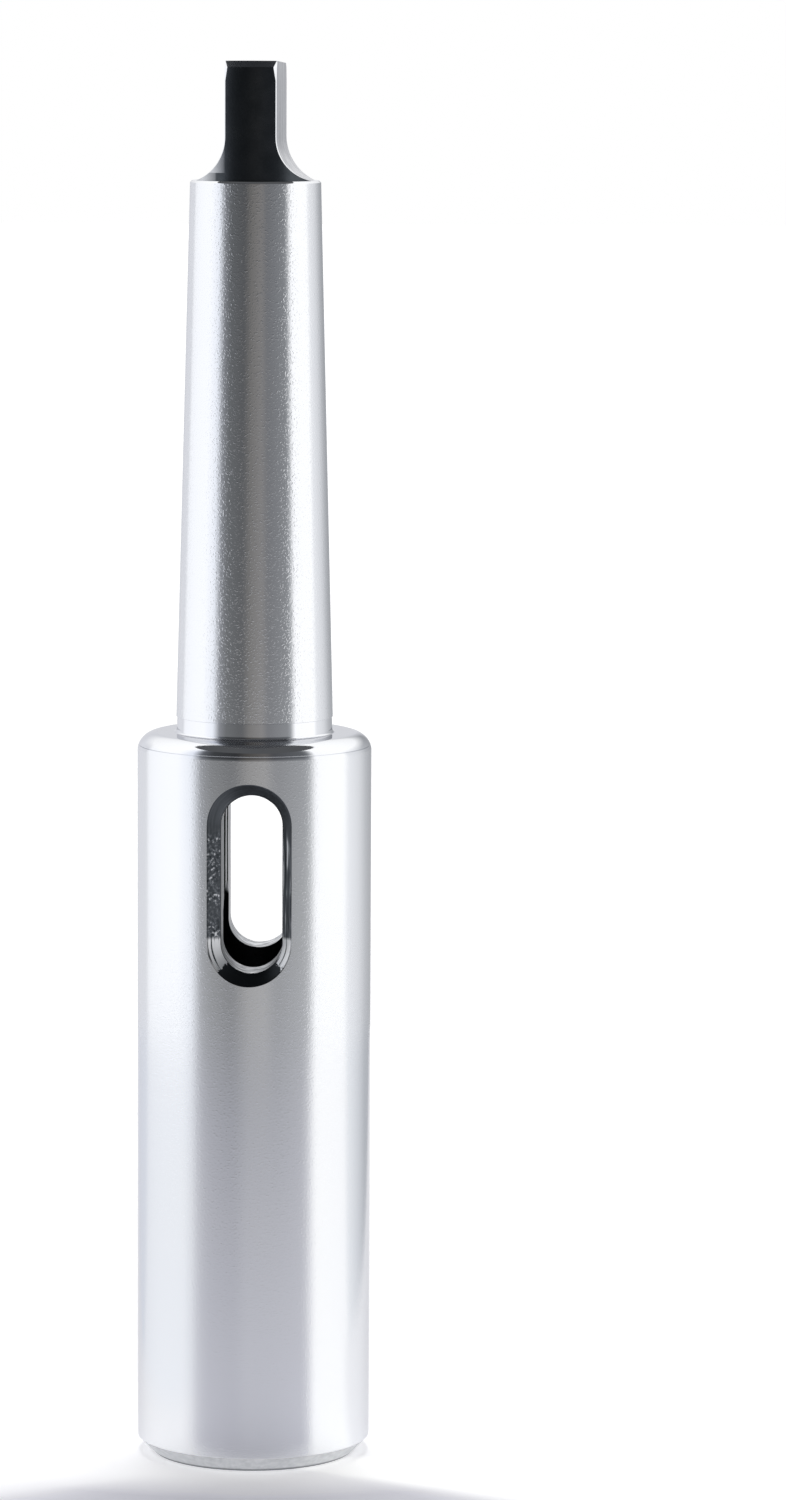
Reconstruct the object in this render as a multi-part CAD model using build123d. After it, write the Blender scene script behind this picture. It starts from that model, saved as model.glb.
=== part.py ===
from build123d import *
import math
import os

# Extension socket with a number 3 self-holding taper at both ends, in millimetres.
# One bar of tool steel: turned, bored, milled, hardened and ground, with nothing fitted to it.
# The origin is the centre of the mouth face. +Z runs up the axis to the tang.
# The drift slot goes through along Y.

# Taper, the same inside and outside
GAUGE_DIAMETER = 23.825   # where the shank's gauge plane and the socket's mouth lie
TAPER_RUN = 19.922        # length over which the diameter falls by one

# Body
BODY_DIAMETER = 36.0
BODY_LENGTH = 112.5       # mouth face to shoulder face
MOUTH_CHAMFER = 2.5
SHOULDER_RADIUS = 3.0     # round edge of the shoulder face

# Shank
RUNOUT_LENGTH = 2.4       # plain stretch between shoulder and taper, for the grinding wheel
RUNOUT_STEP = 0.15        # how far that stretch lies under the taper
ROOT_RADIUS = 0.5         # where it meets the shoulder
GAUGE_OFFSET = 5.0        # gauge plane above the taper's large end
TAPER_LENGTH = 82.0
RIM_CHAMFER = 0.3         # edge break at the taper's small end

# Tang
NECK_STEP = 0.73          # from the taper's small end in to the stub that the tang is milled from
TANG_LENGTH = 18.1        # taper's small end to the tang's end face
TANG_THICKNESS = 7.9
TANG_RADIUS = 7.0         # cutter radius that the flats run out in
TANG_EDGE_BREAK = 0.3     # along the sharp edges of the flats
TANG_LAND = 0.15          # left between that run-out and the broken edge
TANG_END_CHAMFER = 1.0
TANG_TURN = -3.0          # degrees round the axis from the drift slot to the tang

# Socket
LEAD_IN = 0.6             # chamfer at the mouth
RELIEF_LENGTH = 13.8      # drilled stretch past the ground taper, as wide as the taper's small end
SOCKET_OVERRUN = 8.2      # how far the drilled wall runs past the slot's lower end
DRILL_POINT_ANGLE = 118.0

# Drift slot
SHOULDER_WALL = 7.5       # left between the slot's upper end and the shoulder face
SLOT_LENGTH = 27.2
SLOT_WIDTH = 9.3
SLOT_BEVEL = 1.8

# Room that a cut runs past the surface it breaks through
CUT_MARGIN = 2.0

# Heights and radii that follow from the sizes above
body_radius = BODY_DIAMETER / 2
slot_start = BODY_LENGTH - SHOULDER_WALL - SLOT_LENGTH
socket_depth = slot_start + SOCKET_OVERRUN
relief_start = socket_depth - RELIEF_LENGTH
taper_start = BODY_LENGTH + RUNOUT_LENGTH
rim_height = taper_start + TAPER_LENGTH
tang_top = rim_height + TANG_LENGTH


def shank_radius(height):
    """Radius of the outer taper at a height."""
    return (GAUGE_DIAMETER - (height - taper_start - GAUGE_OFFSET) / TAPER_RUN) / 2


def socket_radius(height):
    """Radius of the inner taper at a height."""
    return (GAUGE_DIAMETER - height / TAPER_RUN) / 2


neck_radius = shank_radius(rim_height) - NECK_STEP
relief_radius = socket_radius(relief_start)
runout_radius = shank_radius(taper_start) - RUNOUT_STEP


def turned_blank():
    """The bar as it leaves the lathe: body, shank and neck outside, tapered socket inside."""
    # Chamfer and round edge each take at most half of the ring that they stand on
    mouth_chamfer = min(MOUTH_CHAMFER, (body_radius - socket_radius(0)) / 2)
    shoulder_edge = min(SHOULDER_RADIUS, (body_radius - runout_radius) / 2)
    drill_point = relief_radius / math.tan(math.radians(DRILL_POINT_ANGLE / 2))
    outside = [
        (socket_radius(LEAD_IN) + LEAD_IN, 0),
        (body_radius - mouth_chamfer, 0),
        (body_radius, mouth_chamfer),
        (body_radius, BODY_LENGTH),
        (runout_radius, BODY_LENGTH),
        (runout_radius, taper_start),
        (shank_radius(taper_start), taper_start),
        (shank_radius(rim_height - RIM_CHAMFER), rim_height - RIM_CHAMFER),
        (shank_radius(rim_height - RIM_CHAMFER) - RIM_CHAMFER, rim_height),
        (neck_radius, rim_height),
        (neck_radius, tang_top - TANG_END_CHAMFER),
        (neck_radius - TANG_END_CHAMFER, tang_top),
        (0, tang_top),
    ]
    inside = [
        (0, socket_depth + drill_point),
        (relief_radius, socket_depth),
        (relief_radius, relief_start),
        (socket_radius(LEAD_IN), LEAD_IN),
    ]
    with BuildPart() as blank:
        with BuildSketch(Plane.XZ) as half_section:
            with BuildLine():
                Polyline(*outside, *inside, close=True)
            make_face()
            shoulder_root = half_section.vertices().sort_by_distance((runout_radius, BODY_LENGTH))[0]
            fillet(shoulder_root, ROOT_RADIUS)
            shoulder_corner = half_section.vertices().sort_by_distance((body_radius, BODY_LENGTH))[0]
            fillet(shoulder_corner, shoulder_edge)
        revolve(axis=Axis.Z)
    return blank.part


def tang_flat():
    """What the cutter takes off one side of the neck: a flat that runs out in an arc at the rim."""
    flat = TANG_THICKNESS / 2
    arc_end = neck_radius - TANG_EDGE_BREAK - TANG_LAND
    rise = math.sqrt(TANG_RADIUS**2 - (TANG_RADIUS - (arc_end - flat)) ** 2)
    clear = neck_radius + CUT_MARGIN
    above = tang_top + CUT_MARGIN
    with BuildPart() as cut:
        with BuildSketch(Plane.XZ):
            with BuildLine():
                down = Line((flat, above), (flat, rim_height + rise))
                arc = TangentArc(down @ 1, (arc_end, rim_height), tangent=(0, -1))
                Polyline(arc @ 1, (clear, rim_height), (clear, above), down @ 0)
            make_face()
        extrude(amount=clear, both=True)
    return cut.part


def drift_slot():
    """The round-ended slot that a drift is driven through, right across the body."""
    middle = slot_start + SLOT_LENGTH / 2
    with BuildPart() as cut:
        with BuildSketch(Plane.XZ):
            with Locations((0, middle)):
                SlotOverall(SLOT_LENGTH, SLOT_WIDTH, rotation=90)
        extrude(amount=body_radius + CUT_MARGIN, both=True)
    return cut.part


def extension_socket():
    """The finished piece: blank, tang flats with broken edges, and the bevelled drift slot."""
    near_flat = tang_flat()
    far_flat = near_flat.mirror(Plane.YZ)
    piece = turned_blank() - near_flat - far_flat

    # Straight edges of the tang, two on each flat
    tang_edges = piece.edges().filter_by(Axis.Z).filter_by_position(Axis.Z, rim_height, tang_top)
    piece = chamfer(tang_edges, TANG_EDGE_BREAK)

    piece = piece.rotate(Axis.Z, TANG_TURN) - drift_slot()

    # Both rims of the slot, on the body's round face
    round_face = piece.faces().filter_by(GeomType.CYLINDER).sort_by(SortBy.AREA)[-1]
    slot_rims = [edge for wire in round_face.inner_wires() for edge in wire.edges()]
    return chamfer(slot_rims, SLOT_BEVEL)


os.makedirs("parts", exist_ok=True)
export_step(extension_socket(), "parts/extension_socket.step")
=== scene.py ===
"""Extension socket in hardened steel with a ground taper at both ends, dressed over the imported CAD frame."""
import math

import bmesh
import bpy
from bpy.props import FloatProperty, FloatVectorProperty, PointerProperty
from bpy.types import Operator, Panel, PropertyGroup
from mathutils import Matrix, Vector


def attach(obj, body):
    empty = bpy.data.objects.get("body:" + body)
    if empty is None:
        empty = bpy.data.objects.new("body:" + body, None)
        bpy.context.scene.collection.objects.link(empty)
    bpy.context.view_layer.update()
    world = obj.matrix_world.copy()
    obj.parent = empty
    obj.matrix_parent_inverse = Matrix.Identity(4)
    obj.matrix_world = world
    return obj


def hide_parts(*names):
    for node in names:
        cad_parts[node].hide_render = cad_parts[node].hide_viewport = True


bl_info = {
    "name": "Steel extension socket",
    "version": (1, 0, 0),
    "blender": (4, 5, 0),
    "location": "3D View > Sidebar > Socket",
    "description": "Builds a tapered extension socket and a plain studio around it",
    "category": "Object",
}

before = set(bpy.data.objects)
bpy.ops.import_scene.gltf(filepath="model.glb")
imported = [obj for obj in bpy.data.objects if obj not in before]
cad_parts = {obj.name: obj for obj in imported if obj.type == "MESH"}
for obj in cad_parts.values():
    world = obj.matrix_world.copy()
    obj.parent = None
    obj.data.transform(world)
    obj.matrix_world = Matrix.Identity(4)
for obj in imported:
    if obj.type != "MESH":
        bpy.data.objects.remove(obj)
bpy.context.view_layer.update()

NODE = "extension_socket"
BODY = "root"
MM = 0.001

# Zones of the surface, each with its own finish
ZONE_SCALED = 0
ZONE_SOCKET_TAPER = 1
ZONE_TURNED = 2
ZONE_BODY = 3
ZONE_SHANK = 4
ZONE_TANG_SIDE = 5
ZONE_TANG_FLAT = 6
ZONE_TANG_EDGE = 7
ZONE_SLOT_BEVEL = 8
ZONE_SLOT_WALL = 9
ZONE_EDGE = 10
ZONE_MOUTH = 11

# How finely the round shapes are divided
COLUMNS = 384
ROUND_STEPS = 3
FILLET_STEPS = 8
SHOULDER_STEPS = 20
TANG_ARC_STEPS = 20
SLOT_ARC_STEPS = 40
SLOT_SIDE_STEPS = 24
TENT_STEPS = 96

# Small distances: between points that become one, from an arc to its flat neighbour, and under the mouth
MERGE_DISTANCE = 0.001 * MM
FLAT_MARGIN = 0.05 * MM
FLOOR_GAP = 0.02 * MM

# Edges that bend more than this stay sharp, and a flat this far out cuts nothing
SHARP_ANGLE = math.radians(14)
NO_FLAT = 1.0

# The slot's dressed lines, in widths of one: outside and inside the bevel, and the cutter's flare
FACET_OUTSIDE = 0.6
FACET_INSIDE = 0.7
FACET_FLARE = 8

# Ground finish. Its real lines and grain are too fine to show, so these are as coarse as they need to be
LINE_LENGTH = 25 * MM
GRAIN_SIZE = 0.3 * MM
CLOUD_SIZE = 30 * MM

# Height of the image that the camera is fitted to, in pixels, and width of its sensor, in millimetres
IMAGE_HEIGHT = 1500
SENSOR_WIDTH = 36.0


def linear(hex_colour):
    """Linear RGBA of an sRGB hex colour."""
    channels = [int(hex_colour[start:start + 2], 16) / 255 for start in (1, 3, 5)]
    return [c / 12.92 if c <= 0.04045 else ((c + 0.055) / 1.055) ** 2.4 for c in channels] + [1.0]


def length(label, text, millimetres):
    """A property for one size, with its default in metres."""
    size = millimetres * MM
    return FloatProperty(name=label, description=text, default=size, min=0.0, unit="LENGTH", precision=5)


def angle(label, text, degrees):
    """A property for one angle, with its default in radians."""
    return FloatProperty(name=label, description=text, default=math.radians(degrees), subtype="ANGLE")


def number(label, text, value):
    """A property for one plain number."""
    return FloatProperty(name=label, description=text, default=value, min=0.0)


def colour(label, text, hex_colour):
    """A property for one colour."""
    return FloatVectorProperty(
        name=label, description=text, default=linear(hex_colour), size=4, min=0.0, max=1.0, subtype="COLOR"
    )


class SocketSizes(PropertyGroup):
    """Sizes of the socket: the CAD model's, and on top of them the small marks of hand work."""

    gauge_diameter: length("Gauge diameter", "Diameter of both tapers at their gauge plane", 23.825)
    taper_run: number("Taper run", "Length over which a taper's diameter falls by one", 19.922)
    body_diameter: length("Body diameter", "Diameter of the round body", 36.0)
    body_length: length("Body length", "Mouth face to shoulder face", 112.5)
    mouth_chamfer: length("Mouth chamfer", "Chamfer round the mouth end", 2.5)
    shoulder_radius: length("Shoulder radius", "Round edge of the shoulder face", 3.0)
    runout_length: length("Run-out length", "Plain stretch between shoulder and taper", 2.4)
    runout_step: length("Run-out step", "How far that stretch lies under the taper", 0.15)
    root_radius: length("Root radius", "Fillet between run-out and shoulder", 0.5)
    gauge_offset: length("Gauge offset", "Gauge plane above the taper's large end", 5.0)
    taper_length: length("Taper length", "Length of the ground shank", 82.0)
    rim_chamfer: length("Rim chamfer", "Edge break at the taper's small end", 0.3)
    neck_step: length("Neck step", "Taper's small end in to the tang's stub", 0.73)
    tang_length: length("Tang length", "Taper's small end to the tang's end face", 18.1)
    tang_thickness: length("Tang thickness", "Distance between the two flats", 7.9)
    tang_radius: length("Tang radius", "Cutter radius that the flats run out in", 7.0)
    tang_run_in: length("Tang run-in", "How far short of the neck's surface the arcs end", 0.45)
    tang_end_chamfer: length("Tang end chamfer", "Chamfer round the tang's end", 1.0)
    tang_end_lean: angle("Tang end lean", "How far the tang's end face leans back", 1.5)
    edge_break: length("Edge break", "Width of the dressed tang edge along its length", 0.16)
    edge_break_end: length("Edge break at the end", "Its width where the end chamfer starts", 0.5)
    edge_break_fade: length("Edge break fade", "How far below that it has narrowed", 2.0)
    tang_turn: angle("Tang turn", "Angle from slot to tang", -3)
    lead_in: length("Lead-in", "Chamfer at the socket's mouth", 0.6)
    relief_length: length("Relief length", "Drilled stretch past the ground socket", 13.8)
    socket_overrun: length("Socket overrun", "Drilled wall past the slot's lower end", 8.2)
    drill_point: angle("Drill point", "Angle of the drilled end", 118)
    shoulder_wall: length("Shoulder wall", "Metal between slot and shoulder face", 7.5)
    slot_length: length("Slot length", "Overall length of the drift slot", 27.2)
    slot_width: length("Slot width", "Width of the drift slot", 9.3)
    slot_bevel: length("Slot bevel", "Bevel round both rims of the slot", 1.8)
    bevel_drift: length("Bevel drift", "How far the bevel's outer rim lies off the slot's middle", 0.35)
    slot_shift: length("Slot shift", "How far the slot was milled to one side of the axis", 0.28)
    slot_drop: length("Slot drop", "How far it was milled below its nominal place", 0.42)
    shoulder_start: angle("Shoulder start", "Turn of the round edge that grinding the body cut off", 10)
    tool_line_turn: angle("Tool line turn", "Tool line's place round the shoulder's edge", 21)
    tool_line_depth: length("Tool line depth", "Depth of that line", 0.07)
    runout_lean: length("Run-out lean", "How much wider the run-out is at the shoulder", 0.1)
    edge_round: length("Edge round", "Radius on the turned edges", 0.12)
    edge_facet: length("Edge facet", "Width of the dressed line along the slot's edges", 0.14)


class SocketFinish(PropertyGroup):
    """Colours of the socket's finishes."""

    steel: colour("Ground steel", "Bright hardened tool steel", "#ECEDEE")
    steel_cool: colour("Ground steel, cooler", "The same steel in its cooler clouds", "#E8EAEE")
    aslant: colour("Ground steel, aslant", "Tint of the steel where it is seen almost edge on", "#E0E0E2")
    scale: colour("Hardening scale", "Black scale left by the quench", "#3C4044")
    # Worn scale: rubbed on the slot bevel's marks; on the tang's end it is partly painted light
    scale_worn_and_lit: colour("Worn scale", "Scale rubbed to a lighter grey", "#7C8085")


class StageLook(PropertyGroup):
    """Plain studio: camera, light tent, floor and lamp."""

    focal_pixels: number("Focal length", "In pixels of the photo", 5961.0)
    camera_distance: length("Camera distance", "From the axis, along the floor", 910.9)
    camera_height: length("Camera height", "Above the floor", 219.1)
    camera_turn: angle("Camera turn", "Place round the axis", 2.5)
    camera_yaw: angle("Camera yaw", "Aim to the right of the axis", 1.34)
    camera_pitch: angle("Camera pitch", "Aim below the horizon", 6.851)
    camera_roll: angle("Camera roll", "Turn about its aim", 0.266)
    tent_radius: length("Tent radius", "Of the light tent's wall", 400.0)
    tent_height: length("Tent height", "Of the light tent's wall", 750.0)
    panel_strength: number("Panel strength", "Light of the brightest panel", 1.22)
    # Painted shade: grey colour on the paper in the tent's open front, near the socket and at the tent's foot
    floor_shade: colour("Floor shade", "The paper in the tent's open front", "#BFBFC7")
    floor_far_shade: colour("Floor shade, far", "The same at the tent's foot", "#929399")
    shade_start: length("Shade start", "From the axis to where that shade starts", 19.5)
    shade_full: length("Shade full", "From the axis to where it is full", 33.0)
    paper_middle: number("Paper middle", "Slant of the paper's middle line from the camera", 0.0234)
    paper_side: number("Paper side", "Slant of its sides from that line, just outside the picture", 0.073)
    shade_focus: length("Shade focus", "From the axis to the point that the shade spreads from", 10.0)
    floor_glow: number("Floor glow", "Light that the paper passes up from below", 0.6)
    key_light: number("Key light", "Sun behind and above the socket", 1.5)
    key_height: angle("Key height", "Of that light over the horizon", 76)
    key_softness: angle("Key softness", "Angle that the light fills", 22)
    ambient_light: number("Ambient light", "Soft light from all round", 0.1)
    floor_reach: length("Floor reach", "From the axis to the floor's edge", 6000.0)


def add_node(tree, kind, inputs=None, out=0, stops=(), **settings):
    """Adds a node with its settings, values, links and ramp stops, and returns one output or all of them."""
    node = tree.nodes.new(kind)
    for name, value in settings.items():
        setattr(node, name, value)
    for key, value in (inputs or {}).items():
        if isinstance(value, bpy.types.NodeSocket):
            tree.links.new(value, node.inputs[key])
        else:
            node.inputs[key].default_value = value
    if stops:
        elements = node.color_ramp.elements
        while len(elements) < len(stops):
            elements.new(1.0)
        for element, (position, shade) in zip(elements, stops):
            element.position = position
            element.color = shade
    return node.outputs if out is None else node.outputs[out]


def heights(sizes):
    """Heights and radii that follow from the sizes, as in the CAD model."""
    place = {}
    place["body_radius"] = sizes.body_diameter / 2
    place["slot_start"] = sizes.body_length - sizes.shoulder_wall - sizes.slot_length
    place["socket_depth"] = place["slot_start"] + sizes.socket_overrun
    place["relief_start"] = place["socket_depth"] - sizes.relief_length
    place["taper_start"] = sizes.body_length + sizes.runout_length
    place["rim"] = place["taper_start"] + sizes.taper_length
    place["tang_top"] = place["rim"] + sizes.tang_length
    return place


def shank_radius(sizes, height):
    """Radius of the outer taper at a height."""
    gauge_plane = sizes.body_length + sizes.runout_length + sizes.gauge_offset
    return (sizes.gauge_diameter - (height - gauge_plane) / sizes.taper_run) / 2


def socket_radius(sizes, height):
    """Radius of the inner taper at a height."""
    return (sizes.gauge_diameter - height / sizes.taper_run) / 2


def rounded_corner(before, corner, after, radius, steps):
    """Points of an arc that rounds a corner, with one more at each end to keep the faces beside it flat."""
    corner = Vector(corner)
    back = (Vector(before) - corner).normalized()
    ahead = (Vector(after) - corner).normalized()
    half = back.angle(ahead) / 2
    reach = radius / math.tan(half)
    centre = corner + (back + ahead).normalized() * (radius / math.sin(half))
    start = corner + back * reach - centre
    end = corner + ahead * reach - centre
    swing = start.angle_signed(end)
    points = [tuple(corner + back * (reach + FLAT_MARGIN))]
    for step in range(steps + 1):
        turn = -swing * step / steps
        x = start.x * math.cos(turn) - start.y * math.sin(turn)
        z = start.x * math.sin(turn) + start.y * math.cos(turn)
        points.append((centre.x + x, centre.y + z))
    points.append(tuple(corner + ahead * (reach + FLAT_MARGIN)))
    return points


def shoulder_edge(sizes):
    """Points of the shoulder's round edge from the body up, with the line that the turning tool left."""
    radius = sizes.shoulder_radius
    start = sizes.shoulder_start
    inner = sizes.body_diameter / 2 - radius * math.cos(start)
    below = sizes.body_length - radius
    line = sizes.tool_line_turn
    half_line = sizes.tool_line_depth / radius
    turns = [start + (math.pi / 2 - start) * step / SHOULDER_STEPS for step in range(SHOULDER_STEPS + 1)]
    turns = [turn for turn in turns if abs(turn - line) > 2 * half_line]
    turns += [line - half_line, line, line + half_line]
    points = []
    for turn in sorted(turns):
        reach = radius - sizes.tool_line_depth if turn == line else radius
        points.append((inner + reach * math.cos(turn), below + reach * math.sin(turn)))
    return points


def half_section(sizes):
    """Rows of the turned form from the bore's point to the rim: radius, height, zone of the next strip."""
    place = heights(sizes)
    body = place["body_radius"]
    rim = place["rim"]
    relief = socket_radius(sizes, place["relief_start"])
    runout = shank_radius(sizes, place["taper_start"]) - sizes.runout_step
    small_end = shank_radius(sizes, rim - sizes.rim_chamfer)
    round_off = sizes.edge_round
    shoulder = sizes.body_length
    point_height = place["socket_depth"] + relief / math.tan(sizes.drill_point / 2)
    edge = shoulder_edge(sizes)
    corners = [
        (0.0, point_height, 0.0, ZONE_SCALED),
        (relief, place["socket_depth"], 0.0, ZONE_SCALED),
        (relief, place["relief_start"], 0.0, ZONE_SOCKET_TAPER),
        (socket_radius(sizes, sizes.lead_in), sizes.lead_in, 0.0, ZONE_MOUTH),
        (socket_radius(sizes, sizes.lead_in) + sizes.lead_in, 0.0, round_off, ZONE_MOUTH),
        (body - sizes.mouth_chamfer, 0.0, round_off, ZONE_MOUTH),
        (body, sizes.mouth_chamfer, round_off, ZONE_BODY),
        (body, edge[0][1] - FLAT_MARGIN, 0.0, ZONE_BODY),
        *[(r, z, 0.0, ZONE_TURNED) for r, z in edge],
        (edge[-1][0] - FLAT_MARGIN, shoulder, 0.0, ZONE_TURNED),
        (runout + sizes.runout_lean, shoulder, sizes.root_radius, ZONE_TURNED),
        (runout, place["taper_start"], 0.0, ZONE_TURNED),
        (shank_radius(sizes, place["taper_start"]), place["taper_start"], round_off / 2, ZONE_SHANK),
        (small_end, rim - sizes.rim_chamfer, round_off, ZONE_TURNED),
        (small_end - sizes.rim_chamfer, rim, round_off / 2, ZONE_TURNED),
        (small_end - sizes.neck_step, rim, 0.0, ZONE_TURNED),
    ]
    rows = []
    for index, (radius, height, rounding, zone) in enumerate(corners[:-1]):
        if rounding == 0.0:
            rows.append((radius, height, zone))
            continue
        steps = FILLET_STEPS if rounding > round_off else ROUND_STEPS
        before = corners[index - 1]
        after = corners[index + 1]
        arc = rounded_corner(before[:2], (radius, height), after[:2], rounding, steps)
        rows.append((*arc[0], before[3]))
        rows += [(r, z, ZONE_TURNED) for r, z in arc[1:-2]]
        rows += [(r, z, zone) for r, z in arc[-2:]]
    return rows


def tang_rows(sizes):
    """Rows of the tang from the rim up: radius, height, zone, distance of flats, width of edge break."""
    place = heights(sizes)
    rim = place["rim"]
    top = place["tang_top"]
    neck = shank_radius(sizes, rim) - sizes.neck_step
    flat = sizes.tang_thickness / 2
    radius = sizes.tang_radius
    arc_end = neck - sizes.tang_run_in
    rise = math.sqrt(radius**2 - (radius - (arc_end - flat)) ** 2)
    first_turn = math.asin(rise / radius)
    chamfer_start = top - sizes.tang_end_chamfer
    narrow = sizes.edge_break
    rows = []
    for step in range(TANG_ARC_STEPS + 1):
        turn = first_turn * (1 - step / TANG_ARC_STEPS)
        height = rim + rise - radius * math.sin(turn)
        rows.append((neck, height, ZONE_TANG_SIDE, flat + radius * (1 - math.cos(turn)), narrow))
    rows.append((neck, chamfer_start - sizes.edge_break_fade, ZONE_TANG_SIDE, flat, narrow))
    rows.append((neck, chamfer_start, ZONE_TANG_SIDE, flat, sizes.edge_break_end))
    rows.append((neck - sizes.tang_end_chamfer, top, ZONE_SCALED, flat, narrow / 2))
    return rows


def section_mesh(sizes, edge_turn, step_turn):
    """The half-section as a chain of points, each with its zone, flats and place of the tang's edges."""
    place = heights(sizes)
    rows = [(r, z, zone, NO_FLAT, edge_turn - step_turn / 2, edge_turn + step_turn / 2)
            for r, z, zone in half_section(sizes)]
    for r, z, zone, flat, width in tang_rows(sizes):
        half_chord = math.sqrt(r**2 - flat**2)
        corner = math.acos(flat / r)
        width = min(width, half_chord / 2)
        rows.append((r, z, zone, flat, math.atan((half_chord - width) / flat), corner + width / r))
    rows.append((0.0, place["tang_top"], ZONE_SCALED, NO_FLAT, edge_turn, edge_turn))
    mesh = bpy.data.meshes.new("half_section")
    mesh.from_pydata([(r, 0.0, z) for r, z, *_ in rows], [(i, i + 1) for i in range(len(rows) - 1)], [])
    zone_layer = mesh.attributes.new("zone", "INT", "POINT")
    zone_layer.data.foreach_set("value", [row[2] for row in rows])
    for column, name in ((3, "flat"), (4, "flat_turn"), (5, "side_turn")):
        layer = mesh.attributes.new(name, "FLOAT", "POINT")
        layer.data.foreach_set("value", [row[column] for row in rows])
    return mesh


def slot_outline(sizes):
    """Points round the slot: place across and along, and the direction away from it."""
    half_width = sizes.slot_width / 2
    half_run = sizes.slot_length / 2 - half_width
    outline = []
    for centre, start in ((half_run, 0.0), (-half_run, math.pi)):
        for step in range(SLOT_ARC_STEPS):
            turn = start + math.pi * step / SLOT_ARC_STEPS
            across, along = math.cos(turn), math.sin(turn)
            outline.append((half_width * across, centre + half_width * along, across, along))
        side = -1.0 if start == 0.0 else 1.0
        for step in range(SLOT_SIDE_STEPS):
            along = centre - 2 * centre * step / SLOT_SIDE_STEPS
            outline.append((side * half_width, along, side, 0.0))
    return outline


def slot_rings(sizes, side):
    """Rings of the slot's cutter on one side of the body, from outside in."""
    place = heights(sizes)
    radius = place["body_radius"]
    middle = place["slot_start"] + sizes.slot_length / 2 - sizes.slot_drop
    bevel = sizes.slot_bevel
    facet = sizes.edge_facet
    outside = []
    flare = []
    bevel_outer = []
    bevel_inner = []
    wall = []
    for x, z, nx, nz in slot_outline(sizes):
        x += sizes.slot_shift
        rim = Vector((x, side * math.sqrt(radius**2 - x**2), z))
        turn = math.asin(x / radius) + bevel * nx / radius
        turn += side * sizes.bevel_drift / radius
        outer = Vector((radius * math.sin(turn), side * radius * math.cos(turn), z + bevel * nz))
        inner = rim - Vector((0.0, side * bevel, 0.0))
        slope = (outer - inner).normalized()
        away = Vector((nx * math.cos(turn), -side * nx * math.sin(turn), nz)).normalized()
        start = outer - slope * facet * FACET_OUTSIDE
        bevel_outer.append(start)
        flare.append(start + (slope + away).normalized() * facet * FACET_FLARE)
        outside.append(Vector((flare[-1].x, side * (radius + bevel), flare[-1].z)))
        bevel_inner.append(inner + slope * facet * FACET_INSIDE)
        wall.append(inner - Vector((0.0, side * facet * FACET_INSIDE, 0.0)))
    rings = [outside, flare, bevel_outer, bevel_inner, wall]
    lift = Vector((0.0, 0.0, middle))
    return [[point + lift for point in ring] for ring in rings]


def slot_cutter(sizes):
    """The slot as a closed solid: bevelled at both ends, with a dressed line along each edge."""
    near = slot_rings(sizes, -1.0)
    far = slot_rings(sizes, 1.0)
    rings = near + far[::-1]
    near_zones = [ZONE_SLOT_BEVEL, ZONE_SLOT_BEVEL, ZONE_SLOT_BEVEL, ZONE_EDGE]
    zones = near_zones + [ZONE_SLOT_WALL] + near_zones[::-1]
    work = bmesh.new()
    zone_layer = work.faces.layers.int.new("zone")
    loops = [[work.verts.new(point) for point in ring] for ring in rings]
    count = len(loops[0])
    for band, zone in enumerate(zones):
        for index in range(count):
            ahead = (index + 1) % count
            face = work.faces.new(
                (loops[band][index], loops[band][ahead], loops[band + 1][ahead], loops[band + 1][index])
            )
            face[zone_layer] = zone
    work.faces.new(loops[0])
    work.faces.new(loops[-1])
    bmesh.ops.recalc_face_normals(work, faces=work.faces)
    mesh = bpy.data.meshes.new("slot_cutter")
    work.to_mesh(mesh)
    work.free()
    return mesh


def nearest_flat(tree, turn):
    """Direction of the flat that lies nearer to a turn, and the signed angle from that flat to the turn."""
    nearest = add_node(tree, "ShaderNodeMath", {0: turn, 1: math.pi}, operation="DIVIDE")
    nearest = add_node(tree, "ShaderNodeMath", {0: nearest}, operation="ROUND")
    nearest = add_node(tree, "ShaderNodeMath", {0: nearest, 1: math.pi}, operation="MULTIPLY")
    offset = add_node(tree, "ShaderNodeMath", {0: turn, 1: nearest}, operation="SUBTRACT")
    return nearest, offset


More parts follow.
